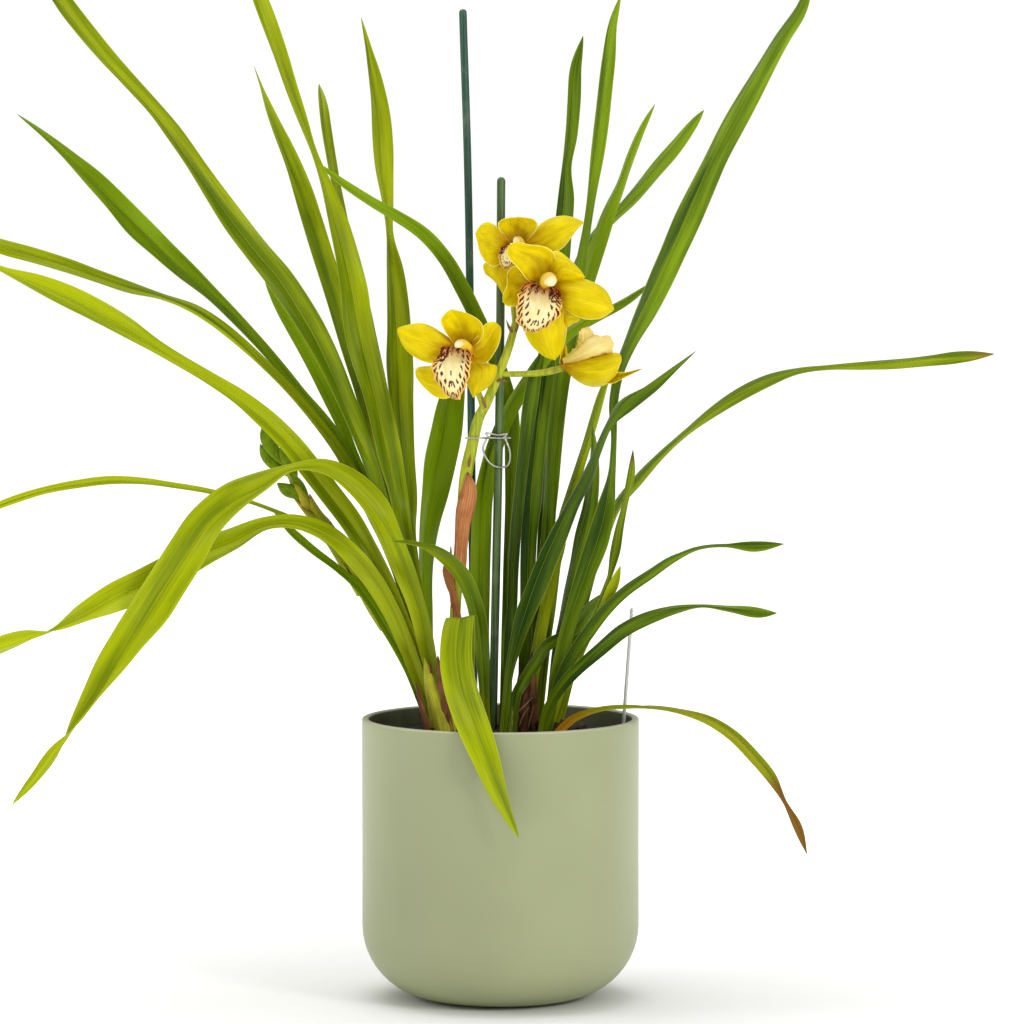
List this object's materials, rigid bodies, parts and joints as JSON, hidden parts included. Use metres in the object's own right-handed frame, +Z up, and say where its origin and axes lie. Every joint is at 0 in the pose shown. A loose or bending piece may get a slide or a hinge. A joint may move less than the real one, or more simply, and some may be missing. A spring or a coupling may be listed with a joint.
{
  "type": "potted orchid",
  "caption": "Orchid with long strap leaves, a bud spike and yellow flowers on a staked stem, standing in a plain round planter.",
  "frame": {"origin": "middle of the planter's flat foot", "axes": "+Z up the planter's axis, the side seen in the picture faces -Y"},
  "size_m": [0.6631, 0.2523, 0.6609],
  "materials": {
    "pot": "matt",
    "nursery_pot": "satin",
    "medium": "rough bark",
    "stake_dark": "satin",
    "stake_light": "satin",
    "stake_clear": "satin",
    "wire": "satin",
    "stem": "plant skin",
    "sheath": "dry and papery",
    "buds": "plant skin",
    "shoot_green": "plant skin",
    "shoot_brown": "dry and papery",
    "leaf_green": "satin plant skin",
    "leaf_dark": "satin plant skin",
    "leaf_yellow": "satin plant skin",
    "petal": "soft plant skin",
    "lip": "soft plant skin"
  },
  "bodies": {
    "root": {"bud_spike": "buds", "flower_back": "petal", "flower_front": "petal", "flower_left": "petal", "flower_side": "petal", "flower_stem": "stem", "growing_medium": "medium", "leaf_front_folded": "leaf_green", "leaf_front_small": "leaf_green", "leaf_left_1": "leaf_green", "leaf_left_10": "leaf_green", "leaf_left_11": "leaf_green", "leaf_left_12": "leaf_green", "leaf_left_13": "leaf_dark", "leaf_left_14": "leaf_dark", "leaf_left_2": "leaf_dark", "leaf_left_3": "leaf_green", "leaf_left_4": "leaf_green", "leaf_left_5": "leaf_green", "leaf_left_6": "leaf_dark", "leaf_left_7": "leaf_green", "leaf_left_8": "leaf_green", "leaf_left_9": "leaf_green", "leaf_middle_1": "leaf_dark", "leaf_middle_2": "leaf_dark", "leaf_middle_3": "leaf_dark", "leaf_middle_4": "leaf_dark", "leaf_middle_5": "leaf_dark", "leaf_right_1": "leaf_dark", "leaf_right_10": "leaf_yellow", "leaf_right_11": "leaf_green", "leaf_right_12": "leaf_dark", "leaf_right_13": "leaf_dark", "leaf_right_14": "leaf_green", "leaf_right_2": "leaf_dark", "leaf_right_3": "leaf_dark", "leaf_right_4": "leaf_dark", "leaf_right_5": "leaf_green", "leaf_right_6": "leaf_green", "leaf_right_7": "leaf_green", "leaf_right_8": "leaf_dark", "leaf_right_9": "leaf_dark", "lip_back": "lip", "lip_front": "lip", "lip_left": "lip", "lip_side": "lip", "nursery_pot": "nursery_pot", "pot": "pot", "sheath_lower": "sheath", "sheath_upper": "sheath", "shoot_base_left": "shoot_green", "shoot_base_right": "shoot_brown", "stake_clear": "stake_clear", "stake_short": "stake_light", "stake_tall": "stake_dark", "wire_clip": "wire"}
  },
  "joints": []
}
